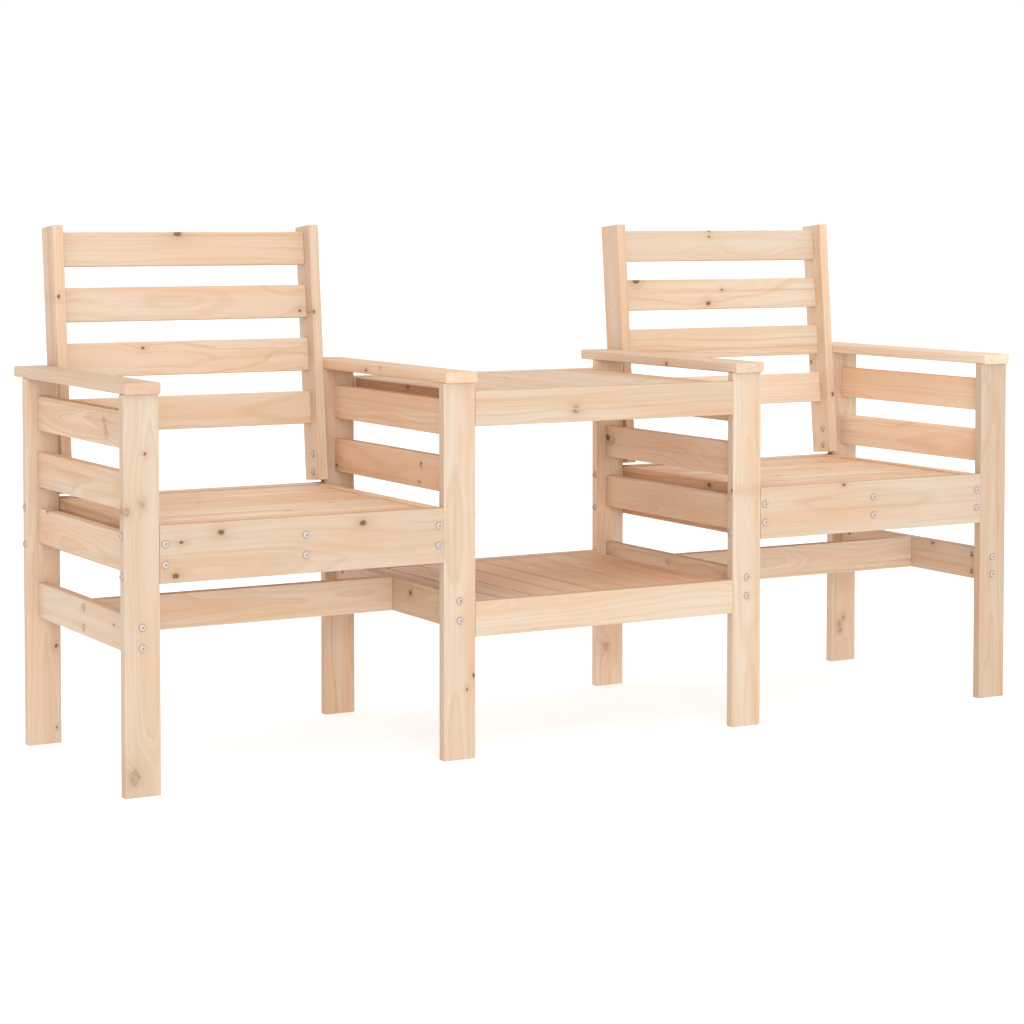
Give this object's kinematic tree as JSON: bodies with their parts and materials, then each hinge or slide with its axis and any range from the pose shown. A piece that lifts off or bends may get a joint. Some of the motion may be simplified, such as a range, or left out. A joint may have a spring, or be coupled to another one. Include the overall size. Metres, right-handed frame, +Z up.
{
  "type": "companion seat bench",
  "caption": "Pine companion bench: slatted armchairs with leaning backs joined side by side by a small slatted table with a shelf, in planed boards held by connector bolts.",
  "frame": {"origin": "on the floor under the middle of the bench's box", "axes": "X along the bench from left to right as seen from the front, the sitters face -Y, Z up"},
  "size_m": [1.722, 0.5406, 0.8694],
  "materials": {
    "pine": "satin",
    "zinc": "satin"
  },
  "bodies": {
    "root": {"barrel_nuts": "zinc", "connector_bolts": "zinc", "left_back_slat_1": "pine", "left_back_slat_2": "pine", "left_back_slat_3": "pine", "left_back_slat_4": "pine", "left_far_post": "pine", "left_inner_armrest": "pine", "left_inner_back_leg": "pine", "left_inner_front_leg": "pine", "left_inner_lower_rail": "pine", "left_inner_side_slat_1": "pine", "left_inner_side_slat_2": "pine", "left_inner_side_slat_3": "pine", "left_near_post": "pine", "left_outer_armrest": "pine", "left_outer_back_leg": "pine", "left_outer_front_leg": "pine", "left_outer_lower_rail": "pine", "left_outer_side_slat_1": "pine", "left_outer_side_slat_2": "pine", "left_outer_side_slat_3": "pine", "left_seat_back_rail": "pine", "left_seat_bearers": "pine", "left_seat_front_rail": "pine", "left_seat_slats": "pine", "left_stretcher": "pine", "right_back_slat_1": "pine", "right_back_slat_2": "pine", "right_back_slat_3": "pine", "right_back_slat_4": "pine", "right_far_post": "pine", "right_inner_armrest": "pine", "right_inner_back_leg": "pine", "right_inner_front_leg": "pine", "right_inner_lower_rail": "pine", "right_inner_side_slat_1": "pine", "right_inner_side_slat_2": "pine", "right_inner_side_slat_3": "pine", "right_near_post": "pine", "right_outer_armrest": "pine", "right_outer_back_leg": "pine", "right_outer_front_leg": "pine", "right_outer_lower_rail": "pine", "right_outer_side_slat_1": "pine", "right_outer_side_slat_2": "pine", "right_outer_side_slat_3": "pine", "right_seat_back_rail": "pine", "right_seat_bearers": "pine", "right_seat_front_rail": "pine", "right_seat_slats": "pine", "right_stretcher": "pine", "shelf_back_rail": "pine", "shelf_front_rail": "pine", "shelf_ledgers": "pine", "shelf_slats": "pine", "table_back_apron": "pine", "table_front_apron": "pine", "table_ledgers": "pine", "table_slats": "pine"}
  },
  "joints": []
}
